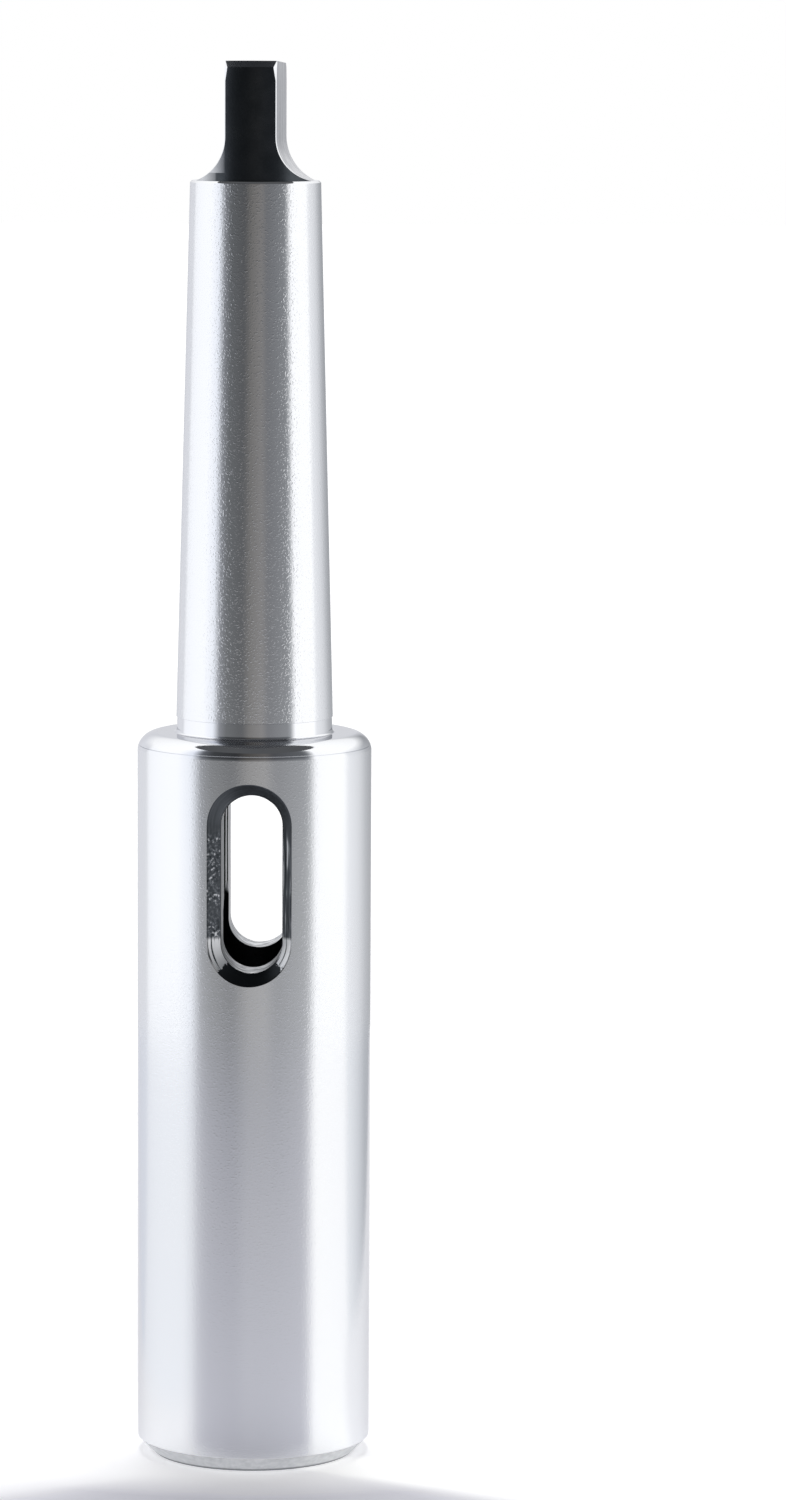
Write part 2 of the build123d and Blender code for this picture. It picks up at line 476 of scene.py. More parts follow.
def lathe_tree(finishes):
    """Geometry Nodes: turns a half-section, sets the tang's flats, cuts the slot and finishes each zone."""
    tree = bpy.data.node_groups.new("turned_socket", "GeometryNodeTree")
    inputs = {
        "Half Section": "NodeSocketGeometry",
        "Columns": "NodeSocketInt",
        "Edge Turn": "NodeSocketFloat",
        "Tang Turn": "NodeSocketFloat",
        "End Height": "NodeSocketFloat",
        "End Reach": "NodeSocketFloat",
        "End Slope": "NodeSocketFloat",
        "Slot Cutter": "NodeSocketObject",
        "Sharp Angle": "NodeSocketFloat",
        **dict.fromkeys(finishes, "NodeSocketMaterial"),
    }
    for name, kind in inputs.items():
        tree.interface.new_socket(name, in_out="INPUT", socket_type=kind)
    tree.interface.new_socket("Socket", in_out="OUTPUT", socket_type="NodeSocketGeometry")
    given = add_node(tree, "NodeGroupInput", out=None)
    section = given["Half Section"]
    columns = given["Columns"]
    edge_turn = given["Edge Turn"]

    # One grid point for each row of the section in each column
    count = add_node(tree, "GeometryNodeAttributeDomainSize", {"Geometry": section}, out="Point Count")
    across = add_node(tree, "FunctionNodeIntegerMath", {0: columns, 1: 1}, operation="ADD")
    grid = add_node(tree, "GeometryNodeMeshGrid", {"Vertices X": across, "Vertices Y": count}, out="Mesh")
    index = add_node(tree, "GeometryNodeInputIndex")
    column = add_node(tree, "FunctionNodeIntegerMath", {0: index, 1: count}, operation="DIVIDE_FLOOR")
    row = add_node(tree, "FunctionNodeIntegerMath", {0: index, 1: count}, operation="MODULO")
    place = add_node(tree, "GeometryNodeInputPosition")
    row_place = add_node(
        tree, "GeometryNodeSampleIndex", {"Geometry": section, "Value": place, "Index": row},
        data_type="FLOAT_VECTOR"
    )
    row_value = {}
    for name in ("flat", "flat_turn", "side_turn"):
        layer = add_node(tree, "GeometryNodeInputNamedAttribute", {"Name": name}, data_type="FLOAT")
        row_value[name] = add_node(
            tree, "GeometryNodeSampleIndex", {"Geometry": section, "Value": layer, "Index": row},
            data_type="FLOAT"
        )

    # Angle of the column, folded to the nearer flat
    step_turn = add_node(tree, "ShaderNodeMath", {0: 2 * math.pi, 1: columns}, operation="DIVIDE")
    half_step = add_node(tree, "ShaderNodeMath", {0: step_turn, 1: 0.5}, operation="MULTIPLY")
    turn = add_node(
        tree, "ShaderNodeMath", {0: column, 1: step_turn, 2: half_step}, operation="MULTIPLY_ADD"
    )
    base_turn, offset = nearest_flat(tree, turn)
    sense = add_node(tree, "ShaderNodeMath", {0: offset}, operation="SIGN")
    offset = add_node(tree, "ShaderNodeMath", {0: offset}, operation="ABSOLUTE")

    # Columns on the flats spread to the tang's edges, and those on its sides close up to them
    last_flat = add_node(tree, "ShaderNodeMath", {0: edge_turn, 1: half_step}, operation="SUBTRACT")
    on_flat = add_node(tree, "ShaderNodeMath", {0: offset, 1: last_flat}, operation="DIVIDE")
    on_flat = add_node(
        tree, "ShaderNodeMath", {0: on_flat, 1: row_value["flat_turn"]}, operation="MULTIPLY"
    )
    first_side = add_node(tree, "ShaderNodeMath", {0: edge_turn, 1: half_step}, operation="ADD")
    side_span = add_node(tree, "ShaderNodeMath", {0: math.pi / 2, 1: first_side}, operation="SUBTRACT")
    side_left = add_node(tree, "ShaderNodeMath", {0: math.pi / 2, 1: offset}, operation="SUBTRACT")
    side_share = add_node(tree, "ShaderNodeMath", {0: side_left, 1: side_span}, operation="DIVIDE")
    side_room = add_node(
        tree, "ShaderNodeMath", {0: math.pi / 2, 1: row_value["side_turn"]}, operation="SUBTRACT"
    )
    side_back = add_node(tree, "ShaderNodeMath", {0: side_share, 1: side_room}, operation="MULTIPLY")
    on_side = add_node(tree, "ShaderNodeMath", {0: math.pi / 2, 1: side_back}, operation="SUBTRACT")
    in_flat = add_node(tree, "ShaderNodeMath", {0: offset, 1: edge_turn}, operation="LESS_THAN")
    local = add_node(
        tree, "GeometryNodeSwitch", {"Switch": in_flat, "False": on_side, "True": on_flat}, input_type="FLOAT"
    )

    # The flats hold the radius back, then each point turns about the axis
    slant = add_node(tree, "ShaderNodeMath", {0: local}, operation="COSINE")
    flat_reach = add_node(tree, "ShaderNodeMath", {0: row_value["flat"], 1: slant}, operation="DIVIDE")
    split = add_node(tree, "ShaderNodeSeparateXYZ", {0: row_place}, out=None)
    reach = add_node(tree, "ShaderNodeMath", {0: split["X"], 1: flat_reach}, operation="MINIMUM")
    spoke = add_node(tree, "ShaderNodeCombineXYZ", {"X": reach, "Z": split["Z"]})
    swing = add_node(tree, "ShaderNodeMath", {0: local, 1: sense, 2: base_turn}, operation="MULTIPLY_ADD")
    swing = add_node(tree, "ShaderNodeMath", {0: swing, 1: given["Tang Turn"]}, operation="ADD")
    target = add_node(
        tree, "ShaderNodeVectorRotate", {"Vector": spoke, "Angle": swing}, rotation_type="Z_AXIS"
    )

    # The tang's end face leans back from its near edge
    spot = add_node(tree, "ShaderNodeSeparateXYZ", {0: target}, out=None)
    at_end = add_node(
        tree, "ShaderNodeMath", {0: spot["Z"], 1: given["End Height"]}, operation="GREATER_THAN"
    )
    behind = add_node(tree, "ShaderNodeMath", {0: spot["Y"], 1: given["End Reach"]}, operation="ADD")
    drop = add_node(tree, "ShaderNodeMath", {0: behind, 1: given["End Slope"]}, operation="MULTIPLY")
    drop = add_node(tree, "ShaderNodeMath", {0: drop, 1: at_end}, operation="MULTIPLY")
    end_height = add_node(tree, "ShaderNodeMath", {0: spot["Z"], 1: drop}, operation="SUBTRACT")
    target = add_node(tree, "ShaderNodeCombineXYZ", {"X": spot["X"], "Y": spot["Y"], "Z": end_height})

    # Zone of each face: its row's, and on the tang also whether it is a side, a flat or an edge
    strips = add_node(tree, "FunctionNodeIntegerMath", {0: count, 1: 1}, operation="SUBTRACT")
    strip = add_node(tree, "FunctionNodeIntegerMath", {0: index, 1: strips}, operation="MODULO")
    stave = add_node(tree, "FunctionNodeIntegerMath", {0: index, 1: strips}, operation="DIVIDE_FLOOR")
    layer = add_node(tree, "GeometryNodeInputNamedAttribute", {"Name": "zone"}, data_type="INT")
    strip_zone = add_node(
        tree, "GeometryNodeSampleIndex", {"Geometry": section, "Value": layer, "Index": strip},
        data_type="INT"
    )
    stave = add_node(tree, "ShaderNodeMath", {0: stave, 1: 1.0}, operation="ADD")
    stave_turn = add_node(tree, "ShaderNodeMath", {0: stave, 1: step_turn}, operation="MULTIPLY")
    _, stave_turn = nearest_flat(tree, stave_turn)
    stave_turn = add_node(tree, "ShaderNodeMath", {0: stave_turn}, operation="ABSOLUTE")
    stave_in = add_node(tree, "ShaderNodeMath", {0: stave_turn, 1: last_flat}, operation="LESS_THAN")
    stave_edge = add_node(tree, "ShaderNodeMath", {0: stave_turn, 1: first_side}, operation="LESS_THAN")
    edge_twice = add_node(tree, "ShaderNodeMath", {0: stave_edge, 1: 2.0}, operation="MULTIPLY")
    extra = add_node(tree, "ShaderNodeMath", {0: edge_twice, 1: stave_in}, operation="SUBTRACT")
    on_tang = add_node(
        tree, "FunctionNodeCompare", {2: strip_zone, 3: ZONE_TANG_SIDE}, data_type="INT", operation="EQUAL"
    )
    extra = add_node(tree, "ShaderNodeMath", {0: extra, 1: on_tang}, operation="MULTIPLY")
    zone = add_node(tree, "ShaderNodeMath", {0: strip_zone, 1: extra}, operation="ADD")
    shape = add_node(
        tree, "GeometryNodeStoreNamedAttribute", {"Geometry": grid, "Name": "zone", "Value": zone},
        data_type="INT", domain="FACE"
    )
    shape = add_node(tree, "GeometryNodeSetPosition", {"Geometry": shape, "Position": target})
    shape = add_node(tree, "GeometryNodeMergeByDistance", {"Geometry": shape, "Distance": MERGE_DISTANCE})

    # The drift slot
    cutter = add_node(tree, "GeometryNodeObjectInfo", {"Object": given["Slot Cutter"]}, out="Geometry")
    shape = add_node(
        tree, "GeometryNodeMeshBoolean", {"Mesh 1": shape, "Mesh 2": cutter},
        operation="DIFFERENCE", solver="EXACT"
    )

    # Smooth faces with sharp edges, then the finish of each zone
    shape = add_node(tree, "GeometryNodeSetShadeSmooth", {0: shape}, domain="FACE")
    bend = add_node(tree, "GeometryNodeInputMeshEdgeAngle", out="Unsigned Angle")
    sharp = add_node(
        tree, "FunctionNodeCompare", {0: bend, 1: given["Sharp Angle"]},
        data_type="FLOAT", operation="GREATER_THAN"
    )
    shape = add_node(
        tree, "GeometryNodeSetShadeSmooth", {0: shape, "Selection": sharp, "Shade Smooth": False},
        domain="EDGE"
    )
    shape = add_node(tree, "GeometryNodeRealizeInstances", {"Geometry": shape})
    layer = add_node(tree, "GeometryNodeInputNamedAttribute", {"Name": "zone"}, data_type="INT")
    for name, zones in finishes.items():
        for wanted in zones:
            here = add_node(
                tree, "FunctionNodeCompare", {2: layer, 3: wanted}, data_type="INT", operation="EQUAL"
            )
            shape = add_node(
                tree, "GeometryNodeSetMaterial",
                {"Geometry": shape, "Selection": here, "Material": given[name]}
            )
    add_node(tree, "NodeGroupOutput", {"Socket": shape}, out=None)
    return tree


def new_material(name):
    """An empty node material and its tree."""
    material = bpy.data.materials.new(name)
    material.use_nodes = True
    tree = material.node_tree
    tree.nodes.clear()
    return material, tree


def round_ground_steel(name, finish, line_pitch, line_slope, grain_slope, speck_slope, roughness):
    """Tool steel ground on its round: bright, with fine lines round the axis and a grain of small specks."""
    material, tree = new_material(name)
    place = add_node(tree, "ShaderNodeTexCoord", out="Object")
    line_scale = (1 / LINE_LENGTH, 1 / LINE_LENGTH, 1 / line_pitch)
    lines = add_node(tree, "ShaderNodeMapping", {"Vector": place, "Scale": line_scale})
    lines = add_node(
        tree, "ShaderNodeTexNoise", {"Vector": lines, "Scale": 1.0, "Detail": 3.0, "Roughness": 0.6}
    )
    grain = add_node(tree, "ShaderNodeTexNoise", {"Vector": place, "Scale": 1 / GRAIN_SIZE, "Detail": 2.0})
    specks = add_node(tree, "ShaderNodeMapRange", {"Value": grain, "From Min": 0.56, "From Max": 0.72})
    clouds = add_node(tree, "ShaderNodeTexNoise", {"Vector": place, "Scale": 1 / CLOUD_SIZE})
    tint = add_node(
        tree, "ShaderNodeMix", {0: clouds, 6: finish.steel, 7: finish.steel_cool}, data_type="RGBA", out=2
    )
    rough = add_node(
        tree, "ShaderNodeMapRange",
        {"Value": lines, "From Min": 0.3, "From Max": 0.7,
         "To Min": roughness * 0.9, "To Max": roughness * 1.1}
    )
    relief = add_node(
        tree, "ShaderNodeBump", {"Height": lines, "Strength": 1.0, "Distance": line_pitch * line_slope}
    )
    for height, slope in ((grain, grain_slope), (specks, speck_slope)):
        relief = add_node(
            tree, "ShaderNodeBump",
            {"Height": height, "Strength": 1.0, "Distance": GRAIN_SIZE * slope, "Normal": relief}
        )
    shader = add_node(
        tree, "ShaderNodeBsdfPrincipled",
        {"Base Color": tint, "Specular Tint": finish.aslant, "Metallic": 1.0, "Roughness": rough,
         "Normal": relief}
    )
    add_node(tree, "ShaderNodeOutputMaterial", {"Surface": shader}, out=None)
    return material


def matt_turned_steel(foot_radius):
    """Mouth end, turned and blasted clean: matt pale grey, faintly mottled, with a painted contact shadow
    along its foot.
    """
    mottle_size = 0.9 * MM
    mottle_depth = 0.008 * MM
    # Dark core and fade of the painted contact shadow along the foot
    contact_shadow_core = 0.2 * MM
    contact_shadow_reach = 0.5 * MM
    material, tree = new_material("Matt-turned tool steel, mouth end")
    place = add_node(tree, "ShaderNodeTexCoord", out="Object")
    mottle = add_node(tree, "ShaderNodeTexNoise", {"Vector": place, "Scale": 1 / mottle_size, "Detail": 3.0})
    tint = add_node(
        tree, "ShaderNodeValToRGB", {"Fac": mottle},
        stops=[(0.3, linear("#CDCFD1")), (0.7, linear("#DFE0E2"))]
    )
    off_axis = add_node(tree, "ShaderNodeVectorMath", {0: place, 1: (1.0, 1.0, 0.0)}, operation="MULTIPLY")
    reach = add_node(tree, "ShaderNodeVectorMath", {0: off_axis}, operation="LENGTH", out="Value")
    from_foot = add_node(tree, "ShaderNodeMath", {0: reach, 1: foot_radius}, operation="SUBTRACT")
    from_foot = add_node(tree, "ShaderNodeMath", {0: from_foot}, operation="ABSOLUTE")
    # Painted contact shadow: a thin darker grey ring where the mouth meets the floor
    contact_shadow = add_node(
        tree, "ShaderNodeMapRange", {"Value": from_foot, "From Min": contact_shadow_reach, "From Max": contact_shadow_core}
    )
    tint = add_node(tree, "ShaderNodeMix", {0: contact_shadow, 6: tint, 7: linear("#85878A")}, data_type="RGBA", out=2)
    relief = add_node(tree, "ShaderNodeBump", {"Height": mottle, "Strength": 1.0, "Distance": mottle_depth})
    shader = add_node(
        tree, "ShaderNodeBsdfPrincipled",
        {"Base Color": tint, "Metallic": 1.0, "Roughness": 0.48, "Normal": relief}
    )
    add_node(tree, "ShaderNodeOutputMaterial", {"Surface": shader}, out=None)
    return material


def flat_ground_steel(finish):
    """Tang flats, ground lengthwise: a soft sheen with fine streaks along the tang."""
    streak_size = (1 * MM, 1.6 * MM, 14 * MM)
    streak_depth = 0.02 * MM
    material, tree = new_material("Surface-ground tool steel, tang flats")
    place = add_node(tree, "ShaderNodeTexCoord", out="Object")
    streak_scale = [1 / size for size in streak_size]
    streaks = add_node(tree, "ShaderNodeMapping", {"Vector": place, "Scale": streak_scale})
    streaks = add_node(tree, "ShaderNodeTexNoise", {"Vector": streaks, "Scale": 1.0, "Detail": 3.0})
    tint = add_node(
        tree, "ShaderNodeValToRGB", {"Fac": streaks},
        stops=[(0.35, linear("#CBCCCE")), (0.6, linear("#EBECED"))]
    )
    relief = add_node(tree, "ShaderNodeBump", {"Height": streaks, "Strength": 1.0, "Distance": streak_depth})
    shader = add_node(
        tree, "ShaderNodeBsdfPrincipled",
        {"Base Color": tint, "Specular Tint": finish.aslant, "Metallic": 1.0, "Roughness": 0.28,
         "Normal": relief}
    )
    add_node(tree, "ShaderNodeOutputMaterial", {"Surface": shader}, out=None)
    return material


def hardening_scale(finish, tang_turn, rim, wear_and_light_end):
    """Scale from hardening: a smooth dark skin, with a painted reflection on two corners of the tang's root,
    and a lighter end, partly worn and partly painted light.
    """
    patch_size = 2.5 * MM
    pit_size = 0.35 * MM
    pit_depth = 0.012 * MM
    foot_height = 1.25 * MM
    foot_inset = 1.4 * MM
    reflection_start = 3.8 * MM
    reflection_end = 6.2 * MM
    wear_and_light_fade = 0.1 * MM
    material, tree = new_material("Black hardening scale")
    place = add_node(tree, "ShaderNodeTexCoord", out="Object")
    patches = add_node(tree, "ShaderNodeTexNoise", {"Vector": place, "Scale": 1 / patch_size, "Detail": 4.0})
    tint = add_node(
        tree, "ShaderNodeValToRGB", {"Fac": patches},
        stops=[(0.35, finish.scale), (0.8, linear("#4E5256"))]
    )

    # Painted reflection: a paler grey on two opposite corners of the root, set back farther out at the foot;
    # the near one lies where the root reflects the bright left panel
    on_tang = add_node(
        tree, "ShaderNodeMapping",
        {"Vector": place, "Location": (0.0, 0.0, -rim), "Rotation": (0.0, 0.0, -tang_turn)}
    )
    split = add_node(tree, "ShaderNodeSeparateXYZ", {0: on_tang}, out=None)
    across = add_node(tree, "ShaderNodeMath", {0: split["X"]}, operation="ABSOLUTE")
    corner = add_node(tree, "ShaderNodeMath", {0: split["X"], 1: split["Y"]}, operation="MULTIPLY")
    corner = add_node(tree, "ShaderNodeMath", {0: corner, 1: 0.0}, operation="GREATER_THAN")
    foot = add_node(tree, "ShaderNodeMath", {0: split["Z"], 1: foot_height}, operation="LESS_THAN")
    across = add_node(
        tree, "ShaderNodeMath", {0: foot, 1: -foot_inset, 2: across}, operation="MULTIPLY_ADD"
    )
    pale_reflection = add_node(
        tree, "ShaderNodeMapRange", {"Value": across, "From Min": reflection_start, "From Max": reflection_end}
    )
    pale_reflection = add_node(
        tree, "ShaderNodeValToRGB", {"Fac": pale_reflection},
        stops=[(0.0, linear("#000000")), (0.12, linear("#909090")), (1.0, linear("#FFFFFF"))]
    )
    pale_reflection = add_node(tree, "ShaderNodeMath", {0: pale_reflection, 1: corner}, operation="MULTIPLY")
    tint = add_node(tree, "ShaderNodeMix", {0: pale_reflection, 6: tint, 7: linear("#C2C4C7")}, data_type="RGBA", out=2)
    # Lighter grey on the tang's end, from the end chamfer up: partly worn scale, partly painted light, since
    # the chamfer reflects the dim tent roof
    wear_and_light = add_node(
        tree, "ShaderNodeMapRange",
        {"Value": split["Z"], "From Min": wear_and_light_end, "From Max": wear_and_light_end + wear_and_light_fade}
    )
    tint = add_node(tree, "ShaderNodeMix", {0: wear_and_light, 6: tint, 7: finish.scale_worn_and_lit}, data_type="RGBA", out=2)
    rough = add_node(
        tree, "ShaderNodeMapRange",
        {"Value": patches, "From Min": 0.3, "From Max": 0.7, "To Min": 0.34, "To Max": 0.26}
    )
    pits = add_node(tree, "ShaderNodeTexNoise", {"Vector": place, "Scale": 1 / pit_size, "Detail": 3.0})
    relief = add_node(tree, "ShaderNodeBump", {"Height": pits, "Strength": 1.0, "Distance": pit_depth})
    shader = add_node(
        tree, "ShaderNodeBsdfPrincipled",
        {"Base Color": tint, "Metallic": 1.0, "Roughness": rough, "Normal": relief}
    )
    add_node(tree, "ShaderNodeOutputMaterial", {"Surface": shader}, out=None)
    return material


def milled_bevel(finish, middle, half_run):
    """Slot bevel, milled by hand and scaled: smooth on top, chattered at one side, bare streaks low down."""
    streak_size = (0.26 * MM, 7 * MM, 7 * MM)
    chatter_size = 0.45 * MM
    patch_size = 2.5 * MM
    mark_depth = 0.012 * MM
    side_fade = 1 * MM
    upper_start = 6.5 * MM
    upper_end = 9 * MM
    foot_start = -10.5 * MM
    foot_end = -11.5 * MM
    bare_start = -8.0 * MM
    bare_full = -8.5 * MM
    bare_slant = 0.85
    bare_ragged = 2.4 * MM
    bare_border = 1.2 * MM
    bare_inside = 1.4 * MM
    material, tree = new_material("Milled tool steel under scale, slot bevel")
    place = add_node(tree, "ShaderNodeTexCoord", out="Object")
    on_slot = add_node(
        tree, "ShaderNodeMapping", {"Vector": place, "Location": (-middle[0], 0.0, -middle[1])}
    )
    split = add_node(tree, "ShaderNodeSeparateXYZ", {0: on_slot}, out=None)
    across = add_node(tree, "ShaderNodeMath", {0: split["X"]}, operation="ABSOLUTE")

    # Distance from the slot's middle line, the same all the way round, so that streaks follow the rim
    beyond = add_node(tree, "ShaderNodeMath", {0: split["Z"]}, operation="ABSOLUTE")
    beyond = add_node(tree, "ShaderNodeMath", {0: beyond, 1: half_run}, operation="SUBTRACT")
    beyond = add_node(tree, "ShaderNodeMath", {0: beyond, 1: 0.0}, operation="MAXIMUM")
    rim_place = add_node(tree, "ShaderNodeCombineXYZ", {"X": across, "Y": beyond})
    from_middle = add_node(tree, "ShaderNodeVectorMath", {0: rim_place}, operation="LENGTH", out="Value")
    streaks = add_node(tree, "ShaderNodeCombineXYZ", {"X": from_middle, "Y": split["Z"], "Z": split["X"]})
    streak_scale = [1 / size for size in streak_size]
    streaks = add_node(tree, "ShaderNodeMapping", {"Vector": streaks, "Scale": streak_scale})
    streaks = add_node(tree, "ShaderNodeTexNoise", {"Vector": streaks, "Scale": 1.0, "Detail": 2.0})

    # Chatter comes and goes in patches
    ragged = add_node(tree, "ShaderNodeTexNoise", {"Vector": place, "Scale": 1 / chatter_size, "Detail": 3.0})
    patches = add_node(tree, "ShaderNodeTexNoise", {"Vector": place, "Scale": 1 / patch_size})
    patches = add_node(
        tree, "ShaderNodeMapRange", {"Value": patches, "From Min": 0.38, "From Max": 0.54, "To Min": 0.45}
    )
    chatter = add_node(tree, "ShaderNodeMix", {0: patches, 2: 0.5, 3: ragged}, data_type="FLOAT")

    # One long side is chattered and the other streaked, and the upper end is smooth
    left = add_node(
        tree, "ShaderNodeMapRange", {"Value": split["X"], "From Min": side_fade, "From Max": -side_fade}
    )
    marks = add_node(tree, "ShaderNodeMix", {0: left, 2: streaks, 3: chatter}, data_type="FLOAT")
    upper = add_node(
        tree, "ShaderNodeMapRange", {"Value": split["Z"], "From Min": upper_start, "From Max": upper_end}
    )
    rings = add_node(tree, "ShaderNodeMapRange", {"Value": streaks, "To Min": 0.34, "To Max": 0.58})
    marks = add_node(tree, "ShaderNodeMix", {0: upper, 2: marks, 3: rings}, data_type="FLOAT")
    foot = add_node(
        tree, "ShaderNodeMapRange", {"Value": split["Z"], "From Min": foot_start, "From Max": foot_end}
    )
    marks = add_node(tree, "ShaderNodeMix", {0: foot, 2: marks, 3: 0.3}, data_type="FLOAT")
    scaled = add_node(
        tree, "ShaderNodeValToRGB", {"Fac": marks},
        stops=[(0.3, linear("#34373A")), (0.5, linear("#5A5E62")), (0.58, finish.scale_worn_and_lit),
               (0.65, linear("#E0E2E4"))]
    )

    # Bare metal on both lower corners, down to a ragged line that runs out from the arc's centre
    low = add_node(
        tree, "ShaderNodeMapRange", {"Value": split["Z"], "From Min": bare_start, "From Max": bare_full}
    )
    above = add_node(tree, "ShaderNodeMath", {0: split["Z"], 1: half_run}, operation="ADD")
    above = add_node(tree, "ShaderNodeMath", {0: across, 1: bare_slant, 2: above}, operation="MULTIPLY_ADD")
    above = add_node(tree, "ShaderNodeMath", {0: ragged, 1: bare_ragged, 2: above}, operation="MULTIPLY_ADD")
    above = add_node(
        tree, "ShaderNodeMapRange", {"Value": above, "From Min": bare_border, "From Max": bare_inside}
    )
    bare = add_node(tree, "ShaderNodeMath", {0: low, 1: above}, operation="MULTIPLY")
    cut = add_node(
        tree, "ShaderNodeValToRGB", {"Fac": streaks},
        stops=[(0.38, linear("#3E4246")), (0.44, linear("#E2E4E6")), (0.5, linear("#F4F5F6"))]
    )
    tint = add_node(tree, "ShaderNodeMix", {0: bare, 6: scaled, 7: cut}, data_type="RGBA", out=2)
    relief = add_node(tree, "ShaderNodeBump", {"Height": marks, "Strength": 1.0, "Distance": mark_depth})
    shader = add_node(
        tree, "ShaderNodeBsdfPrincipled",
        {"Base Color": tint, "Metallic": 1.0, "Roughness": 0.34, "Normal": relief}
    )
    add_node(tree, "ShaderNodeOutputMaterial", {"Surface": shader}, out=None)
    return material


def milled_wall(finish, reach):
    """Slot wall as the end mill left it: pale grey, with painted shade in two unreflecting black bands along
    the slot at set depths.
    """
    streak_size = (1.5 * MM, 0.8 * MM, 9 * MM)
    streak_depth = 0.04 * MM
    band_sway = 0.06
    clear = linear("#FFFFFF")
    black = linear("#000000")
    material, tree = new_material("End-milled tool steel, slot wall")
    place = add_node(tree, "ShaderNodeTexCoord", out="Object")
    split = add_node(tree, "ShaderNodeSeparateXYZ", {0: place}, out=None)
    streak_scale = [1 / size for size in streak_size]
    streaks = add_node(tree, "ShaderNodeMapping", {"Vector": place, "Scale": streak_scale})
    streaks = add_node(tree, "ShaderNodeTexNoise", {"Vector": streaks, "Scale": 1.0, "Detail": 3.0})
    depth = add_node(tree, "ShaderNodeMapRange", {"Value": split["Y"], "From Min": -reach, "From Max": reach})
    sway = add_node(tree, "ShaderNodeMath", {0: streaks, 1: band_sway, 2: depth}, operation="MULTIPLY_ADD")
    # Painted shade: black, unreflecting bands at two depths through the wall, made ragged by the streaks
    lines = add_node(
        tree, "ShaderNodeValToRGB", {"Fac": sway},
        stops=[(0.0, clear), (0.34, clear), (0.36, black), (0.48, black), (0.5, clear), (0.6, clear),
               (0.62, black), (0.7, black), (0.72, clear)]
    )
    tint = add_node(
        tree, "ShaderNodeValToRGB", {"Fac": streaks},
        stops=[(0.3, linear("#6A6D70")), (0.5, linear("#B4B6B9")), (0.65, finish.steel)]
    )
    tint = add_node(tree, "ShaderNodeMix", {0: lines, 6: linear("#0C0D0D"), 7: tint}, data_type="RGBA", out=2)
    relief = add_node(tree, "ShaderNodeBump", {"Height": streaks, "Strength": 1.0, "Distance": streak_depth})
    shader = add_node(
        tree, "ShaderNodeBsdfPrincipled",
        {"Base Color": tint, "Metallic": lines, "Specular IOR Level": 0.0, "Roughness": 0.4,
         "Normal": relief}
    )
    add_node(tree, "ShaderNodeOutputMaterial", {"Surface": shader}, out=None)
    return material


class SOCKET_OT_turned_body(Operator):
    """Turns the socket from its half-section, mills its tang and slot, and gives each surface its finish"""

    bl_idname = "socket.turned_body"
    bl_label = "Turned socket"

    def execute(self, context):
        sizes = context.scene.socket_sizes
        finish = context.scene.socket_finish
        place = heights(sizes)
        slot_middle = (sizes.slot_shift, place["slot_start"] + sizes.slot_length / 2 - sizes.slot_drop)
        slot_half_run = (sizes.slot_length - sizes.slot_width) / 2
        finishes = {
            "Body Finish": [ZONE_BODY],
            "Shank Finish": [ZONE_SHANK, ZONE_SOCKET_TAPER],
            "Turned Finish": [ZONE_TURNED, ZONE_EDGE, ZONE_TANG_EDGE],
            "Mouth Finish": [ZONE_MOUTH],
            "Flat Finish": [ZONE_TANG_FLAT],
            "Scale Finish": [ZONE_TANG_SIDE, ZONE_SCALED],
            "Bevel Finish": [ZONE_SLOT_BEVEL],
            "Wall Finish": [ZONE_SLOT_WALL],
        }
        materials = {
            "Body Finish": round_ground_steel(
                "Satin-ground tool steel, body", finish, line_pitch=0.5 * MM, line_slope=0.0015,
                grain_slope=0.012, speck_slope=0.016, roughness=0.13
            ),
            "Shank Finish": round_ground_steel(
                "Fine-ground tool steel, tapers", finish, line_pitch=0.4 * MM, line_slope=0.002,
                grain_slope=0.02, speck_slope=0.042, roughness=0.11
            ),
            "Turned Finish": round_ground_steel(
                "Bright-turned tool steel, shoulder", finish, line_pitch=0.3 * MM, line_slope=0.004,
                grain_slope=0.004, speck_slope=0.0, roughness=0.07
            ),
            "Mouth Finish": matt_turned_steel(place["body_radius"] - sizes.mouth_chamfer),
            "Flat Finish": flat_ground_steel(finish),
            "Scale Finish": hardening_scale(
                finish, sizes.tang_turn, place["rim"], sizes.tang_length - sizes.tang_end_chamfer
            ),
            "Bevel Finish": milled_bevel(finish, slot_middle, slot_half_run),
            "Wall Finish": milled_wall(finish, place["body_radius"]),
        }
        step_turn = 2 * math.pi / COLUMNS
        first, *_, last = tang_rows(sizes)
        edge_turn = round(math.acos(first[3] / first[0]) / step_turn) * step_turn
        blank = bpy.data.objects.new("socket_blank", section_mesh(sizes, edge_turn, step_turn))
        cutter = bpy.data.objects.new("slot_cutter", slot_cutter(sizes))
        for obj in (blank, cutter):
            context.scene.collection.objects.link(obj)
        tree = lathe_tree(finishes)
        lathe = blank.modifiers.new("Turned socket", "NODES")
        lathe.node_group = tree
        values = {
            "Columns": COLUMNS, "Edge Turn": edge_turn, "Tang Turn": sizes.tang_turn, "Slot Cutter": cutter,
            "End Height": place["tang_top"] - FLAT_MARGIN, "End Reach": last[0],
            "End Slope": math.tan(sizes.tang_end_lean), "Sharp Angle": SHARP_ANGLE, **materials,
        }
        for socket in tree.interface.items_tree:
            if socket.name in values:
                lathe[socket.identifier] = values[socket.name]
        depsgraph = context.evaluated_depsgraph_get()
        mesh = bpy.data.meshes.new_from_object(blank.evaluated_get(depsgraph))
        bpy.data.objects.remove(blank)
        bpy.data.objects.remove(cutter)
        if not mesh.polygons:
            raise RuntimeError("the turned socket has no faces")
        mesh.name = "turned_socket"
        piece = bpy.data.objects.new("turned_socket", mesh)
        context.scene.collection.objects.link(piece)
        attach(piece, BODY)
        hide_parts(NODE)
        return {"FINISHED"}


